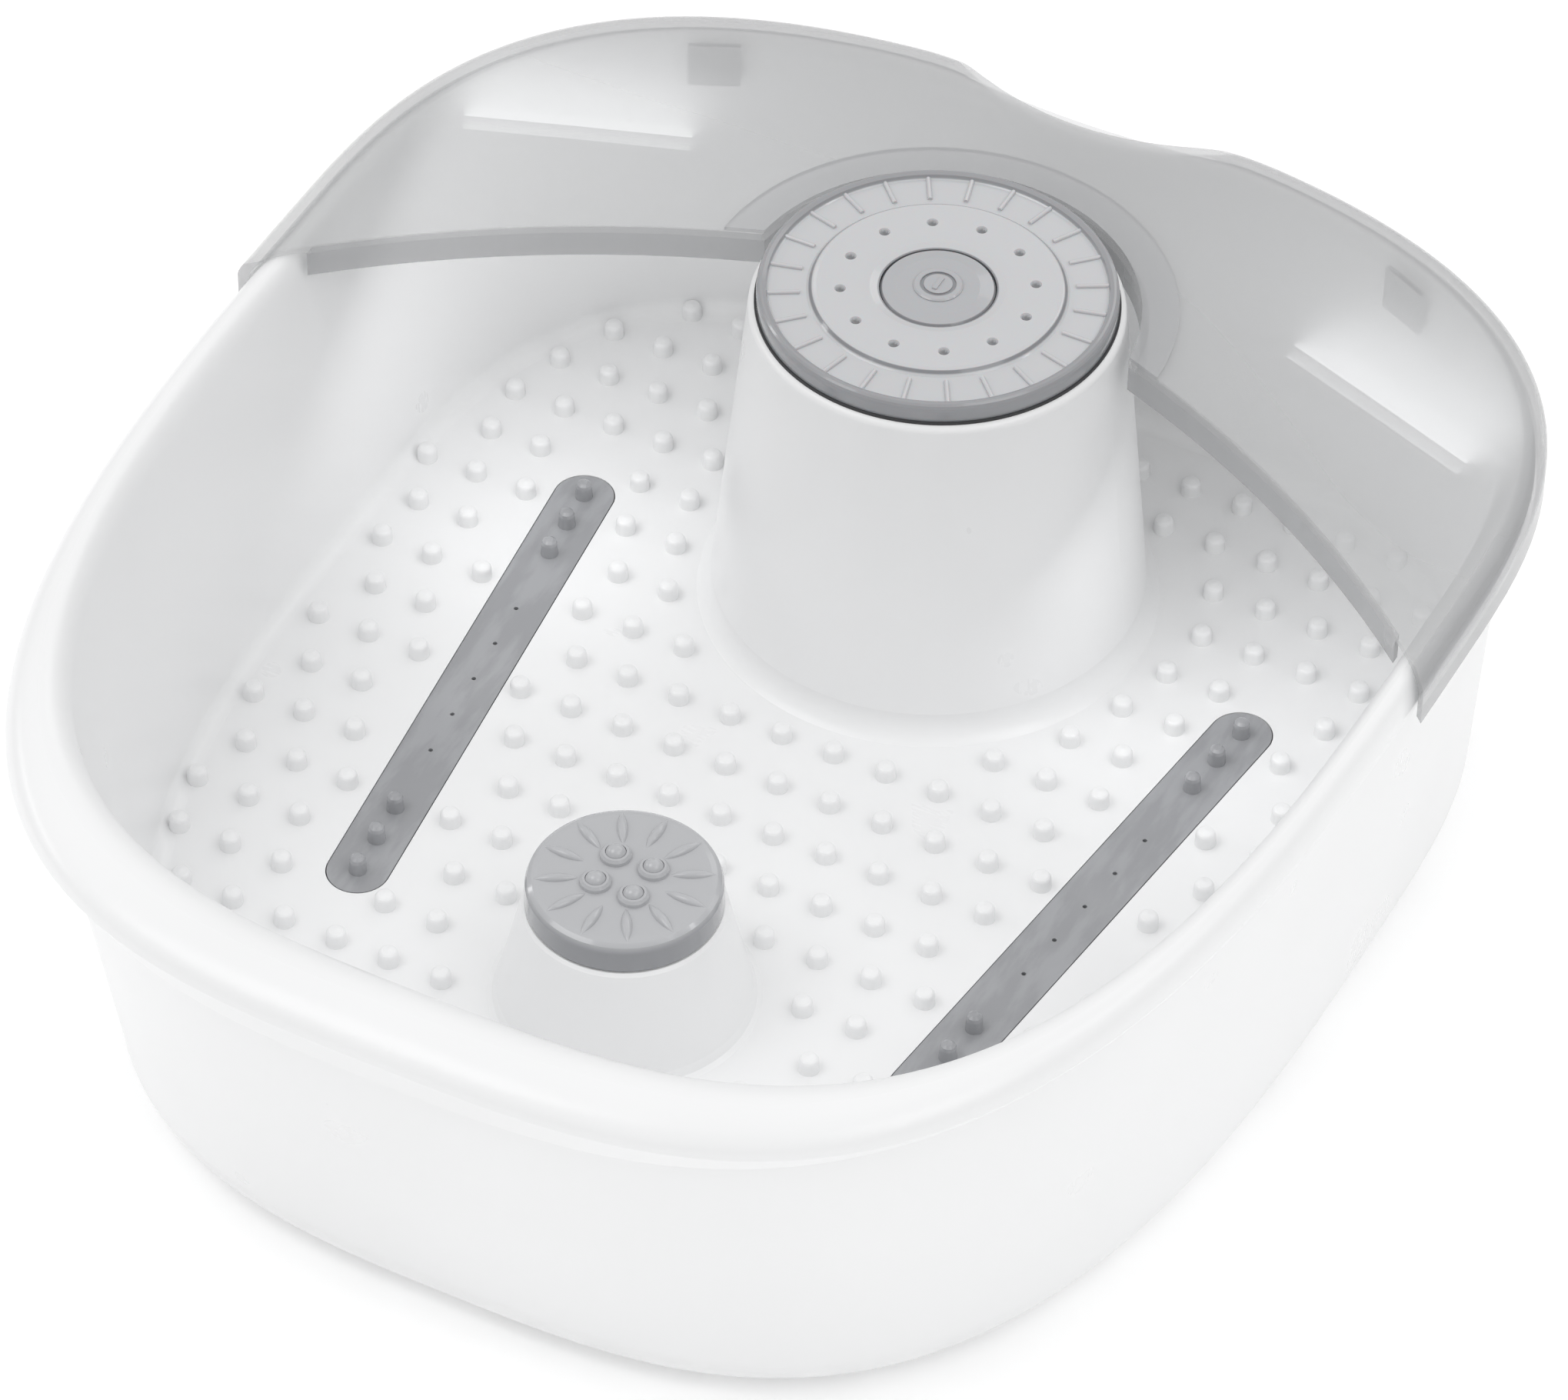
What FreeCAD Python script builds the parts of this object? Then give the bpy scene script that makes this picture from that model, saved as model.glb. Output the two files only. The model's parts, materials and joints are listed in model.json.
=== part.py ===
import FreeCAD, Part
import math
import os

# Foot spa basin, millimetres. +X is the sitter's right-hand side seen from the front rim,
# +Y runs from the front rim to the rear, +Z is up. The origin is on the resting surface,
# in the middle of the object's length and width.

V = FreeCAD.Vector
UP = V(0, 0, 1)

# ---- driving dimensions ------------------------------------------------------------------
WALL = 2.0                 # moulded wall of the tub
CASING_WALL = 1.6
SKIRT_WALL = 1.8           # thinner wall of the rim's turned-down skirt
BODY_GAP = 0.3             # clearance between separate mouldings
FOOT_HEIGHT = 3.0
FLOOR_Z = 30.0             # top of the tub's floor
SEAM_Z = 109.5             # lower edge of the rim's skirt
CREST_Z = 124.5            # top of the rolled rim
SKIRT_TOP_Z = 117.5        # where the skirt turns into the rim's outer shoulder
RIM_FOOT_Z = 115.0         # where the rim's inner shoulder meets the basin wall
CASING_TOP_Z = 114.0
FLOOR_FILLET = 4.5
BASE_FILLET = 10.0

WIDEST_Y = 61.5            # the outlines are widest across this line
RING_POINTS = 60           # points on one outline
SCOOP_HALF_WIDTH = 44.0    # hand scoop in the middle of the rear rim

# Outlines: half width, reach to the front, reach to the rear, squareness of the front
# corners, squareness of the rear corners, depth of the rear hand scoop.
RIM_OUTER = (163.6, 255.5, 129.0, 3.1, 2.7, 5.0)
SKIRT_EDGE = (161.4, 253.3, 128.6, 2.9, 2.7, 5.0)
RIM_INNER = (154.0, 230.0, 122.3, 3.15, 2.7, 5.0)
FLOOR_EDGE = (146.0, 213.0, 121.8, 3.0, 3.0, 2.0)
CASING_TOP = (158.9, 250.9, 126.3, 2.86, 2.7, 5.0)
CASING_BASE = (149.5, 223.0, 126.2, 3.05, 3.05, 0.5)
GUARD_OUTER = (166.2, 258.5, 131.3, 3.0, 2.7, 5.0)
RIM_STEPS = 5              # outlines over a quarter turn of the rim

COLUMN_Y = 97.0            # control column on the centre line
COLUMN_BASE_R = 57.0
COLUMN_FLARE = 5.0
COLUMN_TOP_R = 48.3
COLUMN_TOP_Z = 128.5
COLUMN_MOUTH_R = 44.8

PEDESTAL_Y = -71.0         # front pedestal under the massage cap
PEDESTAL_BASE_R = 32.0
PEDESTAL_TOP_R = 25.6
PEDESTAL_TOP_Z = 62.0
SPIGOT_R = 21.5
SPIGOT_TOP_Z = 66.4

NUB_PITCH = 15.0
NUB_ROW_PITCH = 16.83
NUB_REAR_ROW_Y = 162.8
NUB_R = 2.6
NUB_HEIGHT = 4.5
NUB_MARGIN_REAR = 1.7      # least room between a nub's axis and the basin wall
NUB_MARGIN_SIDE = 4.0
NUB_MARGIN_FRONT = 7.1
NUB_FRONT_Y = -80.0        # the front margin holds from here forwards
NUB_FILLET_ROOM = 0.9      # least room between a free nub's foot and the floor's fillet
# Sideways start of each nub row from the rear forwards, as a share of the pitch.
NUB_ROW_SHIFT = (0.0, 0.0, 0.5, 0.8, 0.67, 0.35, 0.9, 0.0, 0.5, 0.0, 0.5, 0.0, 0.5, 0.8, 0.5,
                 0.8, 0.5, 0.0, 0.5)

STRIP_WIDTH = 16.0
STRIP_LENGTH = 167.0
STRIP_SPLAY = 6.27         # degrees between each strip and the centre line
STRIP_CENTRE = (88.0, 10.0)
STRIP_THICKNESS = 2.5
STRIP_HOLE_PITCH = 14.3
STRIP_HOLE_R = 0.6
STRIP_HOLES = 5
STRIP_LIP = 3.5            # depth of the strip's skirt below its plate
STRIP_SKIRT_INSET = 1.2
STRIP_SKIRT_WALL = 1.6
STRIP_PEGS = 3             # pegs at each end of a strip
PEG_PITCH = 12.0
PEG_R = 2.1
PEG_HEIGHT = 5.2
POCKET_DEPTH = 9.0
HOSE_R = 3.0
HOSE_BORE_R = 2.0
SPIGOT_Z = 16.0            # height of the blower's two hose spigots
INLET_Z = 23.5             # height of the strip pocket's air inlet
INLET_BOSS_R = 4.6
INLET_BOSS_LENGTH = 9.0
HOSE_INLET_ALONG = 48.0    # from the strip's middle to its air inlet

DISC_R = 46.2
DISC_PLATEAU_R = 32.3
DISC_HOLE_R = 15.0
DISC_TOP_Z = 134.0
DISC_VALLEY_Z = 132.8
DISC_UNDER_Z = 131.3
DISC_FOOT_Z = 129.3
DISC_RIBS = 24
DISC_DIMPLES = 12
DIMPLE_CIRCLE_R = 24.9

BUTTON_TRAVEL = 1.5
BUTTON_R = 14.7
STEM_R = 3.0
STEM_END_Z = 121.5
BUTTON_FLANGE_Z = 130.2
GUIDE_FLOOR_Z = 124.0
SPRING_R = 6.0
SPRING_WIRE_R = 0.4

BOARD_Z = 111.4
BOARD_THICKNESS = 1.6
BOARD_R = 38.0
BOARD_POST_CIRCLE_R = 32.0
BOARD_POSTS = 3
BOARD_POST_START = 30.0

CAP_R = 24.75
CAP_TOP_Z = 70.8
CAP_PETALS = 12
CAP_ROOF = 2.2
PETAL_START_R = 10.8
PETAL_LENGTH = 12.0
PETAL_HEIGHT = 1.4
PETAL_SINK = 0.25          # depth of a petal's axis below the cap's top
SOCKET_BOSS_R = 4.2
SPIGOT_CLEARANCE = 0.25
BALL_R = 2.75
BALL_OFFSET = 5.25
BALL_Z = 71.3
BALL_CLEARANCE = 0.12

GUARD_WALL = 2.0
GUARD_TOP_Z = 127.2
GUARD_FOOT_Z = 113.5
GUARD_SHOULDER_Z = 121.5
GUARD_SHOULDER = 6.0
GUARD_LIP_Z = 117.4
GUARD_ARC_R = 52.0
GUARD_COLLAR_R = 61.5
GUARD_LIP_THICKNESS = 2.6
GUARD_COLLAR_RAISE = 1.2
NOTCH_R = 75.8             # round notch in the guard's rear edge, over the hand scoop
NOTCH_Y = 254.1
TAB_ANGLE = 46.0           # direction of the two hanging tabs from the widest line
TAB_WIDTH = 14.0
TAB_THICKNESS = 1.8
TAB_FOOT_Z = 112.0
# The guard's bowed front edge on the +X side, from its middle outwards.
GUARD_FRONT = ((50.0, 102.0), (100.0, 79.0), (174.0, 21.0))

MOTOR_R = 19.0
MOTOR_FOOT_Z = 34.0
MOTOR_TOP_Z = 70.0
SHAFT_R = 1.5
SHAFT_CLEARANCE = 0.05
BRACKET_Z = 32.5
BRACKET_CIRCLE_R = 42.0
BRACKET_ANGLES = (90.0, 210.0, 330.0)
BLOWER_R = 36.0
BLOWER_FOOT_Z = 9.0
BLOWER_TOP_Z = 30.2
BLOWER_WALL = 2.0
HOSE_SPIGOT_LENGTH = 8.0
BEARING_R = 5.2
CAN_WALL = 1.0
ROTOR_R = 13.6
ROTOR_SLOTS = 5
WEIGHT_R = 15.0
IMPELLER_R = 30.0
IMPELLER_BLADES = 9
BRACKET_R = 47.0
MOUNT_R = 5.0
MOUNT_HEIGHT = 5.2

WIRE_R = 1.2
ARC_SHARE = 0.45           # share of the shorter run that an arc of a wire or hose takes
GLAND_X = 70.0
GLAND_Z = 17.0
GLAND_BORE_R = 3.6
GLAND_BODY_R = 7.0
GLAND_NOSE_Y = 194.0

HEATER_PLATE_THICKNESS = 1.5
HEATER_ROD_R = 2.5
TERMINAL_BOX = (52.0, 78.0, 148.0, 160.0)    # low x, high x, low y, high y
TERMINAL_WELLS_X = (57.0, 65.0, 73.0)
TERMINAL_HEIGHT = 9.0

HEAD_R = 3.0               # every screw: slotted head on a plain shank
HEAD_HEIGHT = 2.0
SHANK_R = 1.4
SHANK_CLEARANCE = 0.3
FOOT_R = 8.8
FOOT_POCKET_DEPTH = 0.8
SCREW_SPOTS = ((118.0, -40.0), (124.0, 112.0), (52.0, -122.0))
FOOT_SPOTS = ((104.0, -66.0), (112.0, 132.0))


# ---- shared helpers ------------------------------------------------------------------------
def cylinder(radius, low, high, x=0.0, y=0.0):
    return Part.makeCylinder(radius, high - low, V(x, y, low), UP)


def tube(outer, inner, low, high, x=0.0, y=0.0):
    return cylinder(outer, low, high, x, y).cut(cylinder(inner, low - 1, high + 1, x, y))


def block(x_low, x_high, y_low, y_high, z_low, z_high):
    return Part.makeBox(x_high - x_low, y_high - y_low, z_high - z_low, V(x_low, y_low, z_low))


def turned(profile, x=0.0, y=0.0):
    """Solid of revolution about the upright line through (x, y); profile holds (radius, z)."""
    points = [V(radius, 0, z) for radius, z in profile]
    face = Part.Face(Part.makePolygon(points + points[:1]))
    solid = face.revolve(V(0, 0, 0), UP, 360)
    return moved(solid, x, y, 0)


def moved(shape, x, y, z):
    copy = shape.copy()
    copy.translate(V(x, y, z))
    return copy


def spun(shape, degrees, x=0.0, y=0.0):
    copy = shape.copy()
    copy.rotate(V(x, y, 0), UP, degrees)
    return copy


def mirrored(shape):
    return shape.mirror(V(0, 0, 0), V(1, 0, 0))


def fused(shapes):
    return shapes[0].multiFuse(shapes[1:]).removeSplitter()


def around(count, radius, x=0.0, y=0.0, start=0.0):
    """Evenly spaced places on a circle."""
    places = []
    for i in range(count):
        turn = math.radians(start + 360.0 * i / count)
        places.append((x + radius * math.cos(turn), y + radius * math.sin(turn)))
    return places


def both_sides(spots):
    """Each place on the +X side, followed by its twin on the -X side."""
    return [(side * x, y) for x, y in spots for side in (1, -1)]


def mixed(first, second, share):
    """The outline that lies a share of the way from the first to the second."""
    return tuple(a + (b - a) * share for a, b in zip(first, second))


def grown(shape_of, distance):
    """The outline moved outwards by a distance, inwards if it is negative."""
    half_width, front, rear, n_front, n_rear, scoop = shape_of
    return (half_width + distance, front + distance, rear + distance, n_front, n_rear, scoop)


def outline_point(shape_of, turn, z):
    """Point of a rounded egg in a given direction from its widest line."""
    half_width, front, rear, n_front, n_rear, scoop = shape_of
    squareness = n_rear if math.sin(turn) > 0 else n_front
    reach = rear if math.sin(turn) > 0 else front
    across = abs(math.cos(turn) / half_width) ** squareness
    along = abs(math.sin(turn) / reach) ** squareness
    radius = (across + along) ** (-1.0 / squareness)
    x = radius * math.cos(turn)
    y = radius * math.sin(turn)
    if y > 0:
        y -= scoop * max(0.0, 1 - (x / SCOOP_HALF_WIDTH) ** 2)
    return V(x, WIDEST_Y + y, z)


def ring(shape_of, z):
    """Closed smooth outline at height z."""
    turns = [2 * math.pi * i / RING_POINTS for i in range(RING_POINTS + 1)]
    curve = Part.BSplineCurve()
    points = [outline_point(shape_of, turn, z) for turn in turns[:-1]]
    curve.interpolate(Points=points, PeriodicFlag=True, Parameters=turns)
    return Part.Wire([curve.toShape()])


def skin(rings, straight=False):
    """Faces that join a stack of outlines."""
    return Part.makeLoft(rings, False, straight).Faces


def closed_solid(faces):
    shell = Part.makeShell(faces)
    shell.sewShape()
    solid = Part.Solid(Part.Shell(shell.Faces))
    if solid.Volume < 0:
        solid.reverse()
    return solid


def domed_block(skirt, rise):
    """Solid inside a straight skirt and the rounded shoulder above it."""
    return Part.makeLoft(skirt, True, True).fuse(Part.makeLoft(rise, True, False))


def prism(shape_of, low, high):
    return Part.Face(ring(shape_of, low)).extrude(V(0, 0, high - low))


def quarter(steps):
    """Shares of a quarter turn, from 0 to 1, as (across, up) on a unit arc."""
    turns = [math.pi / 2 * i / steps for i in range(steps + 1)]
    return [(1 - math.cos(turn), math.sin(turn)) for turn in turns]


def rounded_path(points, label):
    """Straight runs joined by arcs as large as the two runs beside them allow."""
    edges = []
    radii = []
    start = points[0]
    for before, corner, after in zip(points, points[1:], points[2:]):
        back = before - corner
        ahead = after - corner
        cut = ARC_SHARE * min(back.Length, ahead.Length)
        half_turn = (math.pi - back.getAngle(ahead)) / 2
        radius = cut / math.tan(half_turn)
        middle = back.normalize() + ahead.normalize()
        middle.normalize()
        enter = corner + back * cut
        leave = corner + ahead * cut
        crown = corner + middle * (radius / math.cos(half_turn) - radius)
        edges.append(Part.LineSegment(start, enter).toShape())
        edges.append(Part.Arc(enter, crown, leave).toShape())
        radii.append(round(radius, 1))
        start = leave
    edges.append(Part.LineSegment(start, points[-1]).toShape())
    print(label, "radii", radii)
    return Part.Wire(edges)


def swept(points, radius, label, bore=0.0):
    """Round tube along a rounded path."""
    path = rounded_path(points, label)
    ahead = points[1] - points[0]
    section = Part.Wire([Part.makeCircle(radius, points[0], ahead)])
    solid = path.makePipeShell([section], True, False)
    expected = path.Length * math.pi * radius ** 2
    print(label, "volume", round(solid.Volume, 1), "expected", round(expected, 1))
    if bore > 0:
        hole = Part.Wire([Part.makeCircle(bore, points[0], ahead)])
        solid = solid.cut(path.makePipeShell([hole], True, False))
    return solid


def pan_head_screw(x, y, head_low, shank_end, upside_down=False):
    """Screw with a slotted round head and a plain shank."""
    head = cylinder(HEAD_R, head_low, head_low + HEAD_HEIGHT, x, y)
    slot_low = head_low - 1 if upside_down else head_low + 1.2
    slot = block(x - 2.4, x + 2.4, y - 0.4, y + 0.4, slot_low, slot_low + 1.8)
    middle = head_low + HEAD_HEIGHT / 2
    shank = cylinder(SHANK_R, min(shank_end, middle), max(shank_end, middle), x, y)
    return head.cut(slot).fuse(shank)


# ---- tub: basin and rolled rim, with the column, the pedestal and the nubs on its floor ------
def rim_rings(outer, inner, edge, crest):
    """Outlines of the rim's straight skirt, its outer shoulder and its inner shoulder."""
    rise = []
    for across, up in quarter(RIM_STEPS):
        rise.append(ring(mixed(outer, inner, across / 2), SKIRT_TOP_Z + (crest - SKIRT_TOP_Z) * up))
    fall = []
    for across, up in reversed(quarter(RIM_STEPS)):
        fall.append(ring(mixed(inner, outer, across / 2), RIM_FOOT_Z + (crest - RIM_FOOT_Z) * up))
    fall[0] = rise[-1]
    return [ring(edge, SEAM_Z), rise[0]], rise, fall


def basin_rings(top_ring, edge, floor_z, fillet):
    """Outlines of the basin wall's fillet, down to the flat floor."""
    down = []
    for across, up in quarter(4):
        down.append(ring(grown(edge, -fillet * across), floor_z + fillet * (1 - up)))
    return [top_ring, down[0]], down


def basin_skin():
    """The tub's one thin skin, with its floor still whole."""
    skirt, rise, fall = rim_rings(RIM_OUTER, RIM_INNER, SKIRT_EDGE, CREST_Z)
    wall, fillet = basin_rings(fall[-1], FLOOR_EDGE, FLOOR_Z, FLOOR_FILLET)
    back_outer = grown(RIM_OUTER, -SKIRT_WALL)
    back_inner = grown(RIM_INNER, WALL)
    back_skirt, back_rise, back_fall = rim_rings(back_outer, back_inner, grown(SKIRT_EDGE, -SKIRT_WALL),
                                                 CREST_Z - WALL)
    back_wall, back_fillet = basin_rings(back_fall[-1], grown(FLOOR_EDGE, WALL),
                                         FLOOR_Z - WALL, FLOOR_FILLET + WALL)
    faces = []
    pairs = ((skirt, back_skirt, True), (rise, back_rise, False), (fall, back_fall, False),
             (wall, back_wall, True), (fillet, back_fillet, False))
    for above, below, straight in pairs:
        faces += skin(above, straight)
        faces += skin(below, straight)
    faces.append(Part.Face(fillet[-1]))
    faces.append(Part.Face(back_fillet[-1]))
    edge = Part.Face(skirt[0]).cut(Part.Face(back_skirt[0]))
    faces += edge.Faces
    return closed_solid(faces)


def column_outside():
    """Tapered column with a flared foot and a rounded top edge."""
    flare_r = COLUMN_BASE_R + COLUMN_FLARE
    flare_low = V(flare_r, 0, FLOOR_Z - 0.5)
    flare_high = V(COLUMN_BASE_R, 0, FLOOR_Z + 8)
    flare = Part.Arc(flare_low, V(COLUMN_BASE_R + 1.4, 0, FLOOR_Z + 2), flare_high).toShape()
    shoulder_low = V(COLUMN_TOP_R, 0, COLUMN_TOP_Z - 2)
    shoulder_high = V(COLUMN_TOP_R - 2, 0, COLUMN_TOP_Z)
    shoulder_middle = V(COLUMN_TOP_R - 0.6, 0, COLUMN_TOP_Z - 0.6)
    shoulder = Part.Arc(shoulder_low, shoulder_middle, shoulder_high).toShape()
    foot = V(0, 0, FLOOR_Z - WALL)
    corner = V(flare_r, 0, FLOOR_Z - WALL)
    crown = V(0, 0, COLUMN_TOP_Z)
    edges = [Part.makeLine(foot, corner), Part.makeLine(corner, flare_low), flare,
             Part.makeLine(flare_high, shoulder_low), shoulder,
             Part.makeLine(shoulder_high, crown), Part.makeLine(crown, foot)]
    face = Part.Face(Part.Wire(edges))
    return moved(face.revolve(V(0, 0, 0), UP, 360), 0, COLUMN_Y, 0)


def column_inside():
    below = FLOOR_Z - WALL - 5
    return turned([(0, below), (COLUMN_BASE_R - WALL, below), (COLUMN_BASE_R - WALL, FLOOR_Z + 8),
                   (COLUMN_TOP_R - WALL, COLUMN_TOP_Z - 4), (COLUMN_MOUTH_R, COLUMN_TOP_Z - 4),
                   (COLUMN_MOUTH_R, COLUMN_TOP_Z + 5), (0, COLUMN_TOP_Z + 5)], 0, COLUMN_Y)


def pedestal_outside():
    top = PEDESTAL_TOP_Z
    return turned([(0, FLOOR_Z - WALL), (PEDESTAL_BASE_R + 3, FLOOR_Z - WALL),
                   (PEDESTAL_BASE_R + 3, FLOOR_Z - 0.4), (PEDESTAL_BASE_R + 1, FLOOR_Z + 0.8),
                   (PEDESTAL_BASE_R, FLOOR_Z + 3), (PEDESTAL_TOP_R, top - 0.8),
                   (PEDESTAL_TOP_R - 0.8, top), (SPIGOT_R, top), (SPIGOT_R, SPIGOT_TOP_Z - 0.6),
                   (SPIGOT_R - 0.6, SPIGOT_TOP_Z), (0, SPIGOT_TOP_Z)], 0, PEDESTAL_Y)


def pedestal_inside():
    below = FLOOR_Z - WALL - 1
    return turned([(0, below), (PEDESTAL_BASE_R - WALL, below), (PEDESTAL_BASE_R - WALL, FLOOR_Z + 3),
                   (PEDESTAL_TOP_R - WALL, PEDESTAL_TOP_Z - 4), (SPIGOT_R - WALL, PEDESTAL_TOP_Z - WALL),
                   (SPIGOT_R - WALL, SPIGOT_TOP_Z - WALL), (0, SPIGOT_TOP_Z - WALL)], 0, PEDESTAL_Y)


def stadium(width, length, low, high):
    """Upright slab with half-round ends, along +Y, centred on the strip's own middle."""
    half = (length - width) / 2
    slab = block(-width / 2, width / 2, -half, half, low, high)
    ends = [cylinder(width / 2, low, high, 0, -half), cylinder(width / 2, low, high, 0, half)]
    return fused([slab] + ends)


def on_strip(shape, side):
    """Carries a shape from the strip's own frame to its place in the floor."""
    x, y = STRIP_CENTRE
    return moved(spun(shape, -side * STRIP_SPLAY), side * x, y, 0)


def strip_air_hole(side, radius, length, start):
    """Round bar along the axis of the strip's air inlet, in the strip's own frame."""
    return Part.makeCylinder(radius, length, V(-side * start, HOSE_INLET_ALONG, INLET_Z), V(-side, 0, 0))


def strip_pocket_outside(side):
    low = FLOOR_Z - POCKET_DEPTH - WALL
    body = stadium(STRIP_WIDTH + 2 * WALL + 1, STRIP_LENGTH + 2 * WALL + 1, low, FLOOR_Z - 1)
    inlet = strip_air_hole(side, INLET_BOSS_R, INLET_BOSS_LENGTH, STRIP_WIDTH / 2)
    return on_strip(body.fuse(inlet), side)


def strip_pocket_inside(side):
    width = STRIP_WIDTH + 2 * BODY_GAP
    length = STRIP_LENGTH + 2 * BODY_GAP
    body = stadium(width, length, FLOOR_Z - POCKET_DEPTH, FLOOR_Z + 1)
    inlet = strip_air_hole(side, HOSE_R, INLET_BOSS_LENGTH + 3, STRIP_WIDTH / 2)
    return on_strip(body.fuse(inlet), side)


def nub():
    half = NUB_R / 2
    profile = [(0, FLOOR_Z - 1), (NUB_R + 0.2, FLOOR_Z - 1), (NUB_R, FLOOR_Z + NUB_HEIGHT - 1.7)]
    for across, up in quarter(4)[1:]:
        profile.append((NUB_R - half * across, FLOOR_Z + NUB_HEIGHT - 1.7 + 1.4 * up))
    profile.append((0, FLOOR_Z + NUB_HEIGHT))
    return turned(profile)


def within_floor(x, y, margin):
    """True where a point lies inside the floor's outline, a margin or more from it."""
    edge = outline_point(grown(FLOOR_EDGE, -margin), math.atan2(y - WIDEST_Y, x), 0)
    return math.hypot(x, y - WIDEST_Y) <= math.hypot(edge.x, edge.y - WIDEST_Y)


def nub_fits(x, y):
    """True where a nub stands clear of the wall, the column, the pedestal and the strips."""
    margin = NUB_MARGIN_REAR
    if y < WIDEST_Y:
        margin = NUB_MARGIN_SIDE
    if y < NUB_FRONT_Y:
        margin = NUB_MARGIN_FRONT
    if not within_floor(x, y, margin):
        return False
    if math.hypot(x, y - COLUMN_Y) < COLUMN_BASE_R + COLUMN_FLARE + 1 + NUB_R:
        return False
    if math.hypot(x, y - PEDESTAL_Y) < PEDESTAL_BASE_R + 4 + NUB_R:
        return False
    lean = math.radians(STRIP_SPLAY)
    dx = abs(x) - STRIP_CENTRE[0]
    dy = y - STRIP_CENTRE[1]
    across = dx * math.cos(lean) - dy * math.sin(lean)
    along = dx * math.sin(lean) + dy * math.cos(lean)
    beyond = max(abs(along) - (STRIP_LENGTH - STRIP_WIDTH) / 2, 0)
    return math.hypot(across, beyond) > STRIP_WIDTH / 2 + NUB_R + 1.5


def nub_places(on_fillet):
    """Places of the nubs that stand on the floor's fillet, or of those that stand clear of it."""
    places = []
    for row, shift in enumerate(NUB_ROW_SHIFT):
        y = NUB_REAR_ROW_Y - row * NUB_ROW_PITCH
        for step in range(11):
            x = (step + shift) * NUB_PITCH
            flat = within_floor(x, y, FLOOR_FILLET + NUB_R + NUB_FILLET_ROOM)
            if nub_fits(x, y) and flat != on_fillet:
                places.append((x, y))
                if x > 0:
                    places.append((-x, y))
    return places


def tub():
    additions = [strip_pocket_outside(1), strip_pocket_outside(-1)]
    for x, y in both_sides(SCREW_SPOTS):
        additions.append(cylinder(4.0, 12.0, FLOOR_Z - 1, x, y))
    stud = nub()
    additions += [moved(stud, x, y, 0) for x, y in nub_places(True)]
    body = basin_skin().multiFuse(additions)
    cuts = [column_inside(), pedestal_inside(), strip_pocket_inside(1), strip_pocket_inside(-1)]
    for x, y in both_sides(SCREW_SPOTS):
        cuts.append(cylinder(SHANK_R, 10.0, FLOOR_Z - WALL, x, y))
    return body.cut(cuts)


def above_floor(shape):
    """What stands on the tub's floor."""
    return shape.common(block(-200, 200, -200, 200, FLOOR_Z, FLOOR_Z + 200))


def control_column():
    return above_floor(column_outside().cut(column_inside()))


def cap_pedestal():
    return above_floor(pedestal_outside().cut(pedestal_inside()))


def floor_nubs():
    """The nubs that stand on the flat of the floor."""
    stud = above_floor(nub())
    return Part.makeCompound([moved(stud, x, y, 0) for x, y in nub_places(False)])


# ---- outer casing --------------------------------------------------------------------------
def casing_outline(z, inset):
    """The casing's tapered outline at height z."""
    share = (z - FOOT_HEIGHT) / (CASING_TOP_Z - FOOT_HEIGHT)
    return grown(mixed(CASING_BASE, CASING_TOP, share), -inset)


def casing_shell(low, fillet, inset):
    """Outlines of one side of the casing's wall, from the top edge to its flat bottom."""
    spring = low + fillet
    top = ring(casing_outline(CASING_TOP_Z, inset), CASING_TOP_Z)
    wall = [top, ring(casing_outline(spring, inset), spring)]
    turn = [wall[1]]
    for across, up in quarter(4)[1:]:
        z = spring - fillet * up
        turn.append(ring(grown(casing_outline(spring, inset), -fillet * across), z))
    return wall, turn


def outer_casing():
    floor = FOOT_HEIGHT + CASING_WALL
    wall, turn = casing_shell(FOOT_HEIGHT, BASE_FILLET, 0.0)
    in_wall, in_turn = casing_shell(floor, BASE_FILLET - CASING_WALL / 2, CASING_WALL)
    faces = skin(wall, True) + skin(in_wall, True) + skin(turn) + skin(in_turn)
    faces.append(Part.Face(turn[-1]))
    faces.append(Part.Face(in_turn[-1]))
    faces += Part.Face(wall[0]).cut(Part.Face(in_wall[0])).Faces
    additions = []
    cuts = []
    for x, y in bracket_places():
        additions.append(cylinder(4.5, floor - 1, BRACKET_Z - MOUNT_HEIGHT, x, y))
        cuts.append(cylinder(SHANK_R, floor + 4, BRACKET_Z, x, y))
    for x, y in both_sides(SCREW_SPOTS):
        additions.append(cylinder(6.0, floor - 1, 11.8, x, y))
        cuts.append(cylinder(HEAD_R + 0.4, 0, 9.0, x, y))
        cuts.append(cylinder(SHANK_R + SHANK_CLEARANCE, 0, 13.0, x, y))
    for x, y in both_sides(FOOT_SPOTS):
        cuts.append(cylinder(FOOT_R + 0.2, 0, FOOT_HEIGHT + FOOT_POCKET_DEPTH, x, y))
    cuts.append(rear_bar(GLAND_BODY_R - 2.0, gland_wall_y() - 20, gland_wall_y() + 10))
    return closed_solid(faces).multiFuse(additions).cut(cuts)


def rear_bar(radius, start_y, end_y):
    """Round bar along the cord gland's axis."""
    return Part.makeCylinder(radius, end_y - start_y, V(GLAND_X, start_y, GLAND_Z), V(0, 1, 0))


def gland_wall_y():
    """Where the casing's rear wall stands at the cord gland."""
    low = 0.0
    high = math.pi / 2
    shape_of = casing_outline(GLAND_Z, 0.0)
    for _ in range(40):
        middle = (low + high) / 2
        if outline_point(shape_of, middle, 0).x > GLAND_X:
            low = middle
        else:
            high = middle
    return outline_point(shape_of, low, 0).y


def rubber_feet():
    high = FOOT_HEIGHT + FOOT_POCKET_DEPTH
    profile = [(0, 0), (FOOT_R - 1.2, 0), (FOOT_R - 0.4, 0.8), (FOOT_R, high), (0, high)]
    return Part.makeCompound([turned(profile, x, y) for x, y in both_sides(FOOT_SPOTS)])


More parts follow.
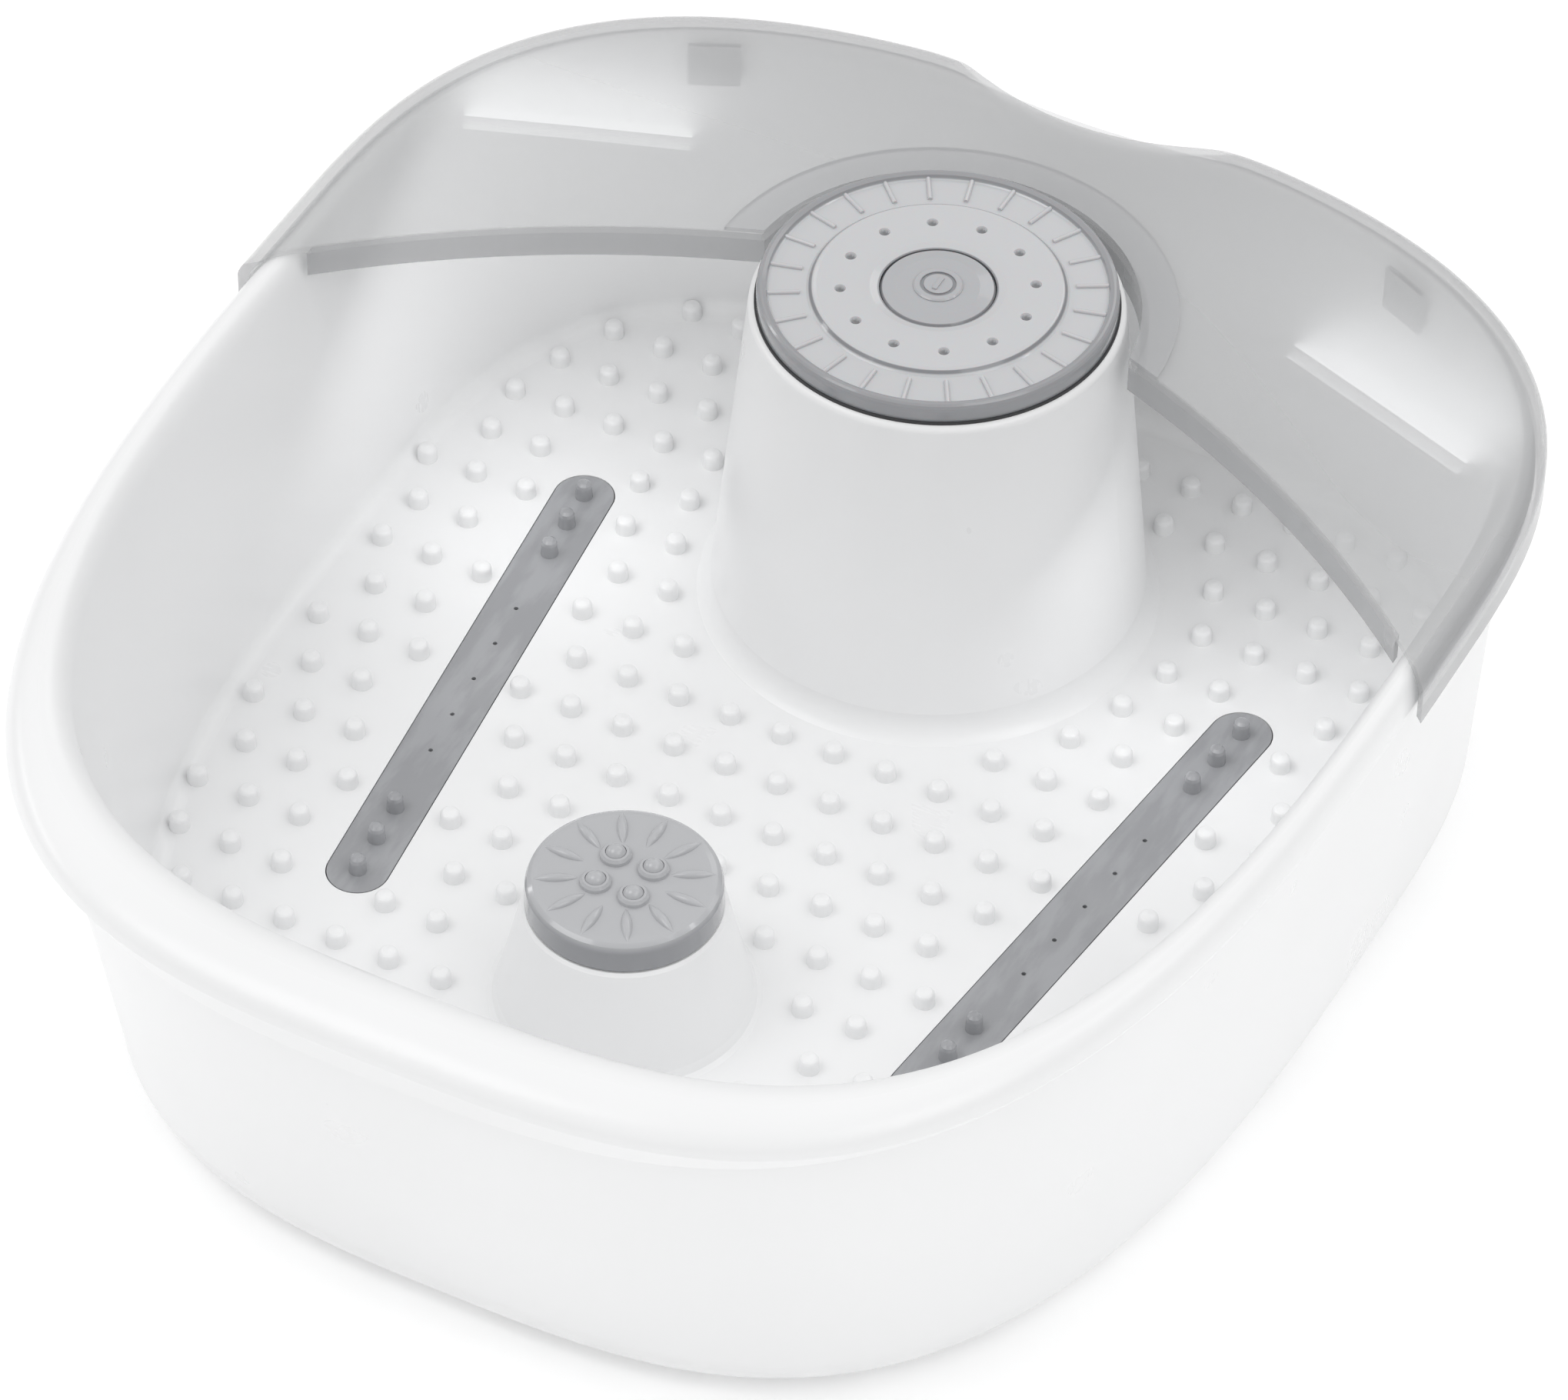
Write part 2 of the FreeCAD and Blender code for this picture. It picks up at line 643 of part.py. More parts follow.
def casing_screws():
    screws = [pan_head_screw(x, y, 6.9, 20.0, upside_down=True) for x, y in both_sides(SCREW_SPOTS)]
    return Part.makeCompound(screws)


# ---- splash guard --------------------------------------------------------------------------
def guard_region(shift):
    """Everything behind the guard's bowed front edge, as an upright prism."""
    low = GUARD_FOOT_Z - 5
    rear_y = 230
    right = [V(x, y + shift, low) for x, y in GUARD_FRONT]
    left = [V(-x, y + shift, low) for x, y in GUARD_FRONT]
    rear_right = V(right[2].x, rear_y, low)
    rear_left = V(left[2].x, rear_y, low)
    edges = [Part.Arc(left[2], left[1], left[0]).toShape(), Part.makeLine(left[0], right[0]),
             Part.Arc(right[0], right[1], right[2]).toShape(), Part.makeLine(right[2], rear_right),
             Part.makeLine(rear_right, rear_left), Part.makeLine(rear_left, left[2])]
    return Part.Face(Part.Wire(edges)).extrude(V(0, 0, 40))


def guard_hat(inset, drop, foot):
    """Closed block under the guard's surface, pulled in and lowered."""
    rise = []
    for across, up in quarter(RIM_STEPS):
        height = GUARD_SHOULDER_Z - drop + (GUARD_TOP_Z - GUARD_SHOULDER_Z) * up
        rise.append(ring(grown(GUARD_OUTER, -inset - GUARD_SHOULDER * across), height))
    return domed_block([ring(grown(GUARD_OUTER, -inset), foot), rise[0]], rise)


def guard_tab(side):
    """Flat tab that hangs just inside the rim and keeps the guard in place."""
    turn = math.radians(TAB_ANGLE)
    path = grown(RIM_INNER, -TAB_THICKNESS / 2 - 1.7)
    place = outline_point(path, turn, 0)
    ahead = outline_point(path, turn + 0.02, 0)
    heading = math.degrees(math.atan2(ahead.y - place.y, ahead.x - place.x))
    tab = block(-TAB_WIDTH / 2, TAB_WIDTH / 2, -TAB_THICKNESS / 2, TAB_THICKNESS / 2,
                TAB_FOOT_Z, GUARD_TOP_Z - 1)
    tab = moved(spun(tab, heading), place.x, place.y, 0)
    return tab if side > 0 else mirrored(tab)


def splash_guard():
    region = guard_region(0)
    sheet = guard_hat(0, 0, GUARD_FOOT_Z).cut(guard_hat(GUARD_WALL, GUARD_WALL, GUARD_FOOT_Z - 4))
    sheet = sheet.common(region).cut(rim_block())
    lip_high = GUARD_TOP_Z - GUARD_WALL + 0.5
    edge_band = region.cut(guard_region(GUARD_LIP_THICKNESS))
    lip = edge_band.common(prism(grown(RIM_INNER, -1.2), GUARD_LIP_Z, lip_high))
    collar_high = GUARD_TOP_Z + GUARD_COLLAR_RAISE
    collar = tube(GUARD_COLLAR_R, GUARD_ARC_R, lip_high, collar_high, 0, COLUMN_Y)
    arc_wall = tube(GUARD_ARC_R + GUARD_WALL, GUARD_ARC_R, GUARD_LIP_Z, lip_high, 0, COLUMN_Y)
    body = fused([sheet, lip, collar.common(region), arc_wall.common(region),
                  guard_tab(1), guard_tab(-1)])
    low = GUARD_FOOT_Z - 5
    high = GUARD_TOP_Z + 5
    body = body.cut(cylinder(GUARD_ARC_R, low, high, 0, COLUMN_Y))
    return body.cut(cylinder(NOTCH_R, low, high, 0, NOTCH_Y))


def rim_block():
    """Block inside the rim's outer face, a gap larger all over, that trims the guard's sheet."""
    skirt, rise, _ = rim_rings(grown(RIM_OUTER, BODY_GAP), RIM_INNER, grown(SKIRT_EDGE, BODY_GAP),
                               CREST_Z + BODY_GAP)
    return domed_block(skirt, rise)


# ---- control disc and button -----------------------------------------------------------------
def control_disc():
    """Ring with a rounded outer bead, a ribbed valley and a raised inner plateau."""
    spigot_r = COLUMN_MOUTH_R - BODY_GAP
    spigot_low = COLUMN_TOP_Z - 6
    profile = [(DISC_HOLE_R, DISC_UNDER_Z), (spigot_r - 2, DISC_UNDER_Z), (spigot_r - 2, spigot_low),
               (spigot_r, spigot_low), (spigot_r, DISC_FOOT_Z), (DISC_R, DISC_FOOT_Z),
               (DISC_R, DISC_TOP_Z - 1.6)]
    for across, up in quarter(4)[1:]:
        profile.append((DISC_R - 1.5 * across, DISC_TOP_Z - 1.6 + 2.0 * up))
    profile += [(DISC_R - 2.4, DISC_TOP_Z), (DISC_R - 2.8, DISC_VALLEY_Z + 0.3),
                (DISC_R - 3.2, DISC_VALLEY_Z), (DISC_PLATEAU_R + 1.2, DISC_VALLEY_Z),
                (DISC_PLATEAU_R + 0.8, DISC_VALLEY_Z + 0.3), (DISC_PLATEAU_R, DISC_TOP_Z - 0.1),
                (DISC_PLATEAU_R - 0.6, DISC_TOP_Z + 0.1), (DISC_PLATEAU_R - 1.4, DISC_TOP_Z),
                (DISC_HOLE_R + 2.4, DISC_TOP_Z), (DISC_HOLE_R, DISC_TOP_Z - 0.5)]
    body = turned(profile, 0, COLUMN_Y)
    rib_start = V(DISC_PLATEAU_R + 2.9, COLUMN_Y, DISC_VALLEY_Z + 0.2)
    rib = Part.makeCylinder(0.6, 8.6, rib_start, V(1, 0, 0))
    additions = [spun(rib, 360.0 * i / DISC_RIBS, 0, COLUMN_Y) for i in range(DISC_RIBS)]
    cuts = []
    for x, y in board_post_places():
        additions.append(cylinder(3.0, BOARD_Z + BOARD_THICKNESS, DISC_UNDER_Z + 0.5, x, y))
        cuts.append(cylinder(SHANK_R, BOARD_Z, BOARD_Z + 12, x, y))
    for x, y in around(DISC_DIMPLES, DIMPLE_CIRCLE_R, 0, COLUMN_Y):
        cuts.append(Part.makeSphere(1.6, V(x, y, DISC_TOP_Z + 0.6)))
    return body.multiFuse(additions).cut(cuts)


def board_post_places():
    return around(BOARD_POSTS, BOARD_POST_CIRCLE_R, 0, COLUMN_Y, BOARD_POST_START)


def disc_gasket():
    return tube(DISC_R + 0.5, COLUMN_MOUTH_R + 0.1, COLUMN_TOP_Z, DISC_FOOT_Z, 0, COLUMN_Y)


def power_button():
    """Button on a stem, with a raised boss that carries a ring and bar sign."""
    crown = DISC_TOP_Z + 0.4
    flange_r = BUTTON_R + 1.4
    flange_high = DISC_UNDER_Z - BODY_GAP
    profile = [(0, STEM_END_Z), (STEM_R, STEM_END_Z), (STEM_R, BUTTON_FLANGE_Z),
               (flange_r, BUTTON_FLANGE_Z), (flange_r, flange_high), (BUTTON_R, flange_high),
               (BUTTON_R, DISC_TOP_Z - 0.9), (BUTTON_R - 0.5, DISC_TOP_Z - 0.3),
               (BUTTON_R - 4, crown - 0.15), (0, crown)]
    body = turned(profile, 0, COLUMN_Y)
    boss = turned([(0, crown - 1), (6.4, crown - 1), (6.4, crown + 0.15), (6.0, crown + 0.45),
                   (0, crown + 0.5)], 0, COLUMN_Y)
    groove = tube(4.6, 3.7, crown + 0.1, crown + 1, 0, COLUMN_Y)
    bar = block(-0.6, 0.6, COLUMN_Y - 2.4, COLUMN_Y + 2.4, crown, crown + 0.8)
    return body.fuse(boss).cut(groove).fuse(bar)


def button_guide():
    """Cup under the disc that guides the button's stem and carries its spring."""
    bore = STEM_R + 0.25
    floor_high = GUIDE_FLOOR_Z + 2
    return turned([(bore, GUIDE_FLOOR_Z), (19.5, GUIDE_FLOOR_Z), (19.5, DISC_UNDER_Z),
                   (17.7, DISC_UNDER_Z), (17.7, floor_high), (bore, floor_high)], 0, COLUMN_Y)


def button_spring():
    low = GUIDE_FLOOR_Z + 2 + SPRING_WIRE_R
    high = BUTTON_FLANGE_Z - SPRING_WIRE_R
    path = Part.Wire(Part.makeHelix((high - low) / 3, high - low, SPRING_R).Edges)
    section = Part.Wire([Part.makeCircle(SPRING_WIRE_R, V(SPRING_R, 0, 0), V(0, 1, 0))])
    return moved(path.makePipeShell([section], True, True), 0, COLUMN_Y, low)


def push_switch():
    top = BOARD_Z + BOARD_THICKNESS
    body = block(-4.2, 4.2, COLUMN_Y - 4.2, COLUMN_Y + 4.2, top, top + 4.5)
    return body.fuse(cylinder(1.8, top + 4, STEM_END_Z - BUTTON_TRAVEL - 0.3, 0, COLUMN_Y))


def control_board():
    """Round circuit board with a chip, a relay, a connector and a capacitor."""
    top = BOARD_Z + BOARD_THICKNESS
    low = top - 0.5
    parts = [cylinder(BOARD_R, BOARD_Z, top, 0, COLUMN_Y),
             block(-22, -10, COLUMN_Y - 6, COLUMN_Y + 6, low, top + 3),
             block(12, 24, COLUMN_Y - 10, COLUMN_Y - 4, low, top + 5),
             block(-8, 8, COLUMN_Y - 27, COLUMN_Y - 21, low, top + 6),
             cylinder(4, low, top + 8, 14, COLUMN_Y + 14)]
    hole_r = SHANK_R + SHANK_CLEARANCE
    holes = [cylinder(hole_r, BOARD_Z - 1, top + 1, x, y) for x, y in board_post_places()]
    return fused(parts).cut(holes)


def board_screws():
    low = BOARD_Z - HEAD_HEIGHT
    screws = [pan_head_screw(x, y, low, BOARD_Z + 8, upside_down=True) for x, y in board_post_places()]
    return Part.makeCompound(screws)


# ---- bubble strips -------------------------------------------------------------------------
def bubble_strip(side):
    """Strip with a skirt, three pegs at each end and a row of pin holes."""
    plate = stadium(STRIP_WIDTH, STRIP_LENGTH, FLOOR_Z - STRIP_THICKNESS, FLOOR_Z)
    low = FLOOR_Z - STRIP_THICKNESS - STRIP_LIP
    outer_cut = 2 * STRIP_SKIRT_INSET
    inner_cut = outer_cut + 2 * STRIP_SKIRT_WALL
    skirt = stadium(STRIP_WIDTH - outer_cut, STRIP_LENGTH - outer_cut, low, FLOOR_Z - 1)
    hollow = stadium(STRIP_WIDTH - inner_cut, STRIP_LENGTH - inner_cut, low - 2,
                     FLOOR_Z - STRIP_THICKNESS)
    top = FLOOR_Z + PEG_HEIGHT
    peg = turned([(0, FLOOR_Z - 1), (PEG_R + 0.3, FLOOR_Z - 1), (PEG_R, top - 1.6),
                  (PEG_R * 0.87, top - 0.7), (PEG_R * 0.5, top - 0.15), (0, top)])
    parts = [plate, skirt.cut(hollow)]
    end_y = (STRIP_LENGTH - STRIP_WIDTH) / 2
    for end in (-1, 1):
        for step in range(STRIP_PEGS):
            parts.append(moved(peg, 0, end * (end_y - step * PEG_PITCH), 0))
    first = -(STRIP_HOLES - 1) / 2 * STRIP_HOLE_PITCH
    holes = [cylinder(STRIP_HOLE_R, FLOOR_Z - 4, FLOOR_Z + 1, 0, first + i * STRIP_HOLE_PITCH)
             for i in range(STRIP_HOLES)]
    return on_strip(fused(parts).cut(holes), side)


def strip_gasket(side):
    """Soft ring under the strip's edge that closes the air pocket."""
    low = FLOOR_Z - POCKET_DEPTH
    high = FLOOR_Z - STRIP_THICKNESS - STRIP_LIP
    outer = stadium(STRIP_WIDTH - 0.4, STRIP_LENGTH - 0.4, low, high)
    inner_cut = 2 * (STRIP_SKIRT_INSET + STRIP_SKIRT_WALL)
    inner = stadium(STRIP_WIDTH - inner_cut, STRIP_LENGTH - inner_cut, low - 1, FLOOR_Z)
    inlet = strip_air_hole(side, HOSE_R, 30.0, 4.0)
    return on_strip(outer.cut([inner, inlet]), side)


# ---- massage cap ---------------------------------------------------------------------------
def ball_places():
    corners = ((1, 1), (-1, 1), (-1, -1), (1, -1))
    return [(x * BALL_OFFSET, PEDESTAL_Y + y * BALL_OFFSET) for x, y in corners]


def massage_cap():
    """Round cap with raised petals and four snap sockets for the balls."""
    low = PEDESTAL_TOP_Z + BODY_GAP
    top = CAP_TOP_Z
    bore = SPIGOT_R + SPIGOT_CLEARANCE
    profile = [(bore, low), (CAP_R - 0.3, low), (CAP_R, low + 0.5), (CAP_R - 0.2, top - 2.2),
               (CAP_R - 0.7, top - 0.9), (CAP_R - 1.8, top - 0.2), (CAP_R - 3.2, top), (0, top),
               (0, top - CAP_ROOF), (bore, top - CAP_ROOF)]
    body = turned(profile, 0, PEDESTAL_Y)
    middle = V(PETAL_LENGTH / 2, 0, PETAL_HEIGHT)
    tip = V(PETAL_LENGTH, 0, 0)
    spine = Part.Arc(V(0, 0, 0), middle, tip).toShape()
    half = Part.Face(Part.Wire([spine, Part.makeLine(tip, V(0, 0, 0))]))
    petal = half.revolve(V(0, 0, 0), V(1, 0, 0), 360)
    petal = moved(petal, PETAL_START_R, PEDESTAL_Y, top - PETAL_SINK)
    additions = [spun(petal, 360.0 * i / CAP_PETALS, 0, PEDESTAL_Y) for i in range(CAP_PETALS)]
    cuts = []
    socket = [(0, top - 3.8), (SOCKET_BOSS_R, top - 3.8), (SOCKET_BOSS_R, top - 1),
              (SOCKET_BOSS_R - 0.3, top + 0.9), (SOCKET_BOSS_R - 0.9, top + 1.6), (0, top + 1.6)]
    for x, y in ball_places():
        additions.append(turned(socket, x, y))
        cuts.append(Part.makeSphere(BALL_R + BALL_CLEARANCE, V(x, y, BALL_Z)))
    return body.multiFuse(additions).cut(cuts)


def massage_ball(place):
    x, y = ball_places()[place]
    return Part.makeSphere(BALL_R, V(x, y, BALL_Z))


# ---- motor and blower ----------------------------------------------------------------------
def motor_can():
    inside = MOTOR_R - CAN_WALL
    floor_high = MOTOR_FOOT_Z + 1.2
    return turned([(BEARING_R, MOTOR_FOOT_Z), (MOTOR_R, MOTOR_FOOT_Z), (MOTOR_R, MOTOR_TOP_Z),
                   (inside, MOTOR_TOP_Z), (inside, floor_high), (BEARING_R, floor_high)], 0, COLUMN_Y)


def motor_end_cap():
    return turned([(BEARING_R, MOTOR_TOP_Z), (MOTOR_R, MOTOR_TOP_Z), (MOTOR_R, MOTOR_TOP_Z + 1.5),
                   (MOTOR_R - 2, MOTOR_TOP_Z + 3), (BEARING_R, MOTOR_TOP_Z + 3)], 0, COLUMN_Y)


def motor_magnets():
    """Two arc magnets against the can's wall."""
    whole = tube(MOTOR_R - CAN_WALL, 14.6, MOTOR_FOOT_Z + 6, MOTOR_TOP_Z - 6, 0, COLUMN_Y)
    arcs = []
    for near, far in ((0, 30), (-30, 0)):
        arcs.append(whole.common(block(-8, 8, COLUMN_Y + near, COLUMN_Y + far, 0, 100)))
    return Part.makeCompound(arcs)


def motor_bearings():
    bore = SHAFT_R + SHAFT_CLEARANCE
    low = tube(BEARING_R, bore, MOTOR_FOOT_Z, MOTOR_FOOT_Z + 4, 0, COLUMN_Y)
    high = tube(BEARING_R, bore, MOTOR_TOP_Z - 1, MOTOR_TOP_Z + 3, 0, COLUMN_Y)
    return Part.makeCompound([low, high])


def motor_shaft():
    return cylinder(SHAFT_R, BLOWER_FOOT_Z + 4, 92.0, 0, COLUMN_Y)


def rotor_core():
    """Slotted rotor with its commutator above it."""
    low = MOTOR_FOOT_Z + 9
    high = MOTOR_TOP_Z - 9
    core = tube(ROTOR_R, SHAFT_R, low, high, 0, COLUMN_Y)
    slot = block(8.5, ROTOR_R + 1.4, COLUMN_Y - 0.9, COLUMN_Y + 0.9, low - 1, high + 1)
    commutator = tube(4.2, SHAFT_R, high, high + 6, 0, COLUMN_Y)
    slots = [spun(slot, 360 * i / ROTOR_SLOTS, 0, COLUMN_Y) for i in range(ROTOR_SLOTS)]
    return core.cut(slots).fuse(commutator)


def eccentric_weight():
    """Half-round weight on a hub near the shaft's top; it shakes the basin."""
    hub = cylinder(5.0, 78, 88, 0, COLUMN_Y)
    rear_half = block(-20, 20, COLUMN_Y, COLUMN_Y + 20, 70, 100)
    half = cylinder(WEIGHT_R, 79, 87, 0, COLUMN_Y).common(rear_half)
    return hub.fuse(half).cut(cylinder(SHAFT_R, 70, 100, 0, COLUMN_Y))


def impeller():
    """Backplate, hub and raked blades."""
    low = BLOWER_FOOT_Z + 5
    parts = [cylinder(IMPELLER_R, low, low + 1.5, 0, COLUMN_Y), cylinder(5, low, low + 11, 0, COLUMN_Y)]
    blade = spun(block(4, IMPELLER_R - 1, -0.6, 0.6, low + 1, low + 10), 18, 12, 0)
    blade = moved(blade, 0, COLUMN_Y, 0)
    for i in range(IMPELLER_BLADES):
        parts.append(spun(blade, 360 / IMPELLER_BLADES * i, 0, COLUMN_Y))
    return fused(parts).cut(cylinder(SHAFT_R, low - 1, low + 12, 0, COLUMN_Y))


def blower_housing():
    """Open drum with a hose spigot on each side."""
    low = BLOWER_FOOT_Z
    inside = BLOWER_R - BLOWER_WALL
    body = turned([(0, low), (BLOWER_R, low), (BLOWER_R, BLOWER_TOP_Z), (inside, BLOWER_TOP_Z),
                   (inside, low + BLOWER_WALL), (0, low + BLOWER_WALL)], 0, COLUMN_Y)
    cuts = []
    spigots = []
    for side in (1, -1):
        out = V(side, 0, 0)
        root = V(side * (BLOWER_R - 1), COLUMN_Y, SPIGOT_Z)
        spigots.append(Part.makeCylinder(HOSE_R, HOSE_SPIGOT_LENGTH + 1, root, out))
        cuts.append(Part.makeCylinder(HOSE_BORE_R, 14.0, root - out * 3, out))
    return fused([body] + spigots).cut(cuts)


def blower_cover():
    return tube(BLOWER_R, 12.0, BLOWER_TOP_Z, BRACKET_Z, 0, COLUMN_Y)


def motor_bracket():
    """Three-lobed steel plate under the motor."""
    low = BRACKET_Z - 1
    high = MOTOR_FOOT_Z + 1
    cuts = [cylinder(BEARING_R, low, high, 0, COLUMN_Y)]
    for x, y in bracket_places():
        cuts.append(cylinder(SHANK_R + SHANK_CLEARANCE, low, high, x, y))
    for x, y in around(len(BRACKET_ANGLES), BRACKET_R - 1, 0, COLUMN_Y, BRACKET_ANGLES[0] + 60):
        cuts.append(cylinder(12.0, low, high, x, y))
    return cylinder(BRACKET_R, BRACKET_Z, MOTOR_FOOT_Z, 0, COLUMN_Y).cut(cuts)


def bracket_places():
    """Places of the bracket's three screws."""
    return around(len(BRACKET_ANGLES), BRACKET_CIRCLE_R, 0, COLUMN_Y, BRACKET_ANGLES[0])


def motor_mounts():
    bore = SHANK_R + 0.2
    mounts = [tube(MOUNT_R, bore, BRACKET_Z - MOUNT_HEIGHT, BRACKET_Z, x, y) for x, y in bracket_places()]
    return Part.makeCompound(mounts)


def bracket_screws():
    screws = [pan_head_screw(x, y, MOTOR_FOOT_Z, BRACKET_Z - 16) for x, y in bracket_places()]
    return Part.makeCompound(screws)


def strip_inlet(side, out):
    """A point on the axis of the strip pocket's air inlet, a distance out from the pocket."""
    mouth = V(-side * (STRIP_WIDTH / 2 + out), HOSE_INLET_ALONG, INLET_Z)
    lean = -side * math.radians(STRIP_SPLAY)
    x = mouth.x * math.cos(lean) - mouth.y * math.sin(lean)
    y = mouth.x * math.sin(lean) + mouth.y * math.cos(lean)
    return V(side * STRIP_CENTRE[0] + x, STRIP_CENTRE[1] + y, mouth.z)


def air_hose(side):
    """Soft tube from the blower's spigot to the strip pocket's inlet."""
    start = V(side * (BLOWER_R + HOSE_SPIGOT_LENGTH), COLUMN_Y, SPIGOT_Z)
    points = [start, start + V(side * 16, 0, 0), V(side * 61, 78, 20), strip_inlet(side, 20),
              strip_inlet(side, 6)]
    return swept(points, HOSE_R, "air_hose", HOSE_BORE_R)


# ---- heater --------------------------------------------------------------------------------
def heater_plate():
    under = FLOOR_Z - WALL
    return block(-48, 48, -28, 26, under - HEATER_PLATE_THICKNESS, under)


def heater_element():
    """U-shaped heating rod against the plate."""
    z = FLOOR_Z - WALL - HEATER_PLATE_THICKNESS - HEATER_ROD_R
    points = [V(-40, 30, z), V(-40, -18, z), V(40, -18, z), V(40, 30, z)]
    return swept(points, HEATER_ROD_R, "heater_element")


def thermostat():
    z = FLOOR_Z - WALL - HEATER_PLATE_THICKNESS
    return turned([(0, z - 7), (7, z - 7), (8.5, z - 5), (8.5, z), (0, z)], -12, 6)


def thermal_fuse():
    radius = 2.2
    z = FLOOR_Z - WALL - HEATER_PLATE_THICKNESS - radius
    return Part.makeCylinder(radius, 14, V(10, 6, z), V(1, 0, 0))


# ---- electrics -----------------------------------------------------------------------------
def terminal_block():
    floor = FOOT_HEIGHT + CASING_WALL
    high = floor + TERMINAL_HEIGHT
    body = block(*TERMINAL_BOX, floor, high)
    y = (TERMINAL_BOX[2] + TERMINAL_BOX[3]) / 2
    return body.cut([cylinder(2.0, high - 4, high + 1, x, y) for x in TERMINAL_WELLS_X])


def cord_gland():
    """Grommet in the rear wall; its through bore is where a supply cord would enter."""
    wall_y = gland_wall_y()
    body = rear_bar(GLAND_BODY_R - 2.2, wall_y - 9, wall_y + 7)
    outside = rear_bar(GLAND_BODY_R, wall_y + 1.2, GLAND_NOSE_Y)
    inside = rear_bar(GLAND_BODY_R, wall_y - 9, wall_y - 6)
    bore = rear_bar(GLAND_BORE_R, wall_y - 20, wall_y + 20)
    return fused([body, outside, inside]).cut(bore)


def motor_wires():
    """Pair of leads from the terminal block up through the column to the control board."""
    leads = []
    for step in (0, 1):
        apart = V(2.6, -2, 0) * step
        points = [V(51.2, 150 + 3 * step, 11), V(29, 139, 14) + apart, V(28, 138, 40) + apart,
                  V(26, 128, 75) + apart, V(20, 118, BOARD_Z - 1) + apart]
        leads.append(swept(points, WIRE_R, "motor_wires"))
    return Part.makeCompound(leads)


def heater_wires():
    """Pair of leads from the terminal block round the blower to the heater."""
    leads = []
    for step in (0, 3.4):
        points = [V(57 + step * 1.5, 147.4, 10), V(60 + step, 120, 9), V(58 + step, 78, 9),
                  V(47, 48 - step, 10), V(24 + step, 30, 14), V(12 + step, 10, 18.5)]
        leads.append(swept(points, WIRE_R, "heater_wires"))
    return Part.makeCompound(leads)


# ---- write every sub-part --------------------------------------------------------------------
def all_nodes():
    nodes = {
        "tub": tub(),
        "control_column": control_column(),
        "cap_pedestal": cap_pedestal(),
        "floor_nubs": floor_nubs(),
        "outer_casing": outer_casing(),
        "rubber_feet": rubber_feet(),
        "casing_screws": casing_screws(),
        "splash_guard": splash_guard(),
        "control_disc": control_disc(),
        "disc_gasket": disc_gasket(),
        "power_button": power_button(),
        "button_guide": button_guide(),
        "button_spring": button_spring(),
        "push_switch": push_switch(),
        "control_board": control_board(),
        "board_screws": board_screws(),
        "bubble_strip_right": bubble_strip(1),
        "bubble_strip_left": bubble_strip(-1),
        "strip_gasket_right": strip_gasket(1),
        "strip_gasket_left": strip_gasket(-1),
        "massage_cap": massage_cap(),
        "motor_can": motor_can(),
        "motor_end_cap": motor_end_cap(),
        "motor_magnets": motor_magnets(),
        "motor_bearings": motor_bearings(),
        "motor_shaft": motor_shaft(),
        "rotor_core": rotor_core(),
        "eccentric_weight": eccentric_weight(),
        "impeller": impeller(),
        "blower_housing": blower_housing(),
        "blower_cover": blower_cover(),
        "motor_bracket": motor_bracket(),
        "motor_mounts": motor_mounts(),
        "bracket_screws": bracket_screws(),
        "air_hose_right": air_hose(1),
        "air_hose_left": air_hose(-1),
        "heater_plate": heater_plate(),
        "heater_element": heater_element(),
        "thermostat": thermostat(),
        "thermal_fuse": thermal_fuse(),
        "terminal_block": terminal_block(),
        "cord_gland": cord_gland(),
        "motor_wires": motor_wires(),
        "heater_wires": heater_wires(),
    }
    for place in range(4):
        nodes["massage_ball_%d" % (place + 1)] = massage_ball(place)
    return nodes


os.makedirs("parts", exist_ok=True)
for name, shape in all_nodes().items():
    box = shape.BoundBox
    print("%-20s valid %s solids %d volume %.0f x %.1f..%.1f y %.1f..%.1f z %.1f..%.1f" % (
        name, shape.isValid(), len(shape.Solids), shape.Volume, box.XMin, box.XMax, box.YMin, box.YMax,
        box.ZMin, box.ZMax))
    shape.exportStep("parts/%s.step" % name)
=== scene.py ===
import json
import math

import bpy
from mathutils import Matrix, Vector


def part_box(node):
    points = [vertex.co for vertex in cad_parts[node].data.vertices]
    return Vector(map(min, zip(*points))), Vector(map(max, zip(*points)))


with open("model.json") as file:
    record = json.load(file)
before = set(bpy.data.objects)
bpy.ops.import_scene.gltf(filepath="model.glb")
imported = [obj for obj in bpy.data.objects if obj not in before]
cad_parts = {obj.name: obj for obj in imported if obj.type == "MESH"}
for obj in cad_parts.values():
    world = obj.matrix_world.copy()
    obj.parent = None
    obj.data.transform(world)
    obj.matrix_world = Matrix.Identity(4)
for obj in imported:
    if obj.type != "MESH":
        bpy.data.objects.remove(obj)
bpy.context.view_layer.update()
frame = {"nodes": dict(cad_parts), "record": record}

# Foot spa basin. Everything is in metres, in the CAD model's own frame: +X to the right seen
# from the front rim, +Y from the front rim to the control column, +Z up, floor at Z = 0.

# ---- view ----------------------------------------------------------------------------------
AZIMUTH = 26.81            # degrees round from the front, towards the right
ELEVATION = 43.84          # degrees
ROLL = 0.95                # degrees
DISTANCE = 2.0279
AIM = Vector((0.0088, -0.0032, 0.0774))
LENS = 186.2               # millimetres, as is the sensor
SENSOR = 36.0

# ---- studio --------------------------------------------------------------------------------
ZENITH = 0.90              # brightness of the dome overhead
HORIZON = 0.50             # brightness of the dome low down
HORIZON_AT = 0.1           # heights on a unit dome between which it brightens
ZENITH_AT = 0.95
FLOOR_REACH = 6.0
FLOOR_GLOW = 0.18          # lifts the floor to the white of a lit sweep
SUBJECT = (0, 0, 0.06)     # where the studio lights point

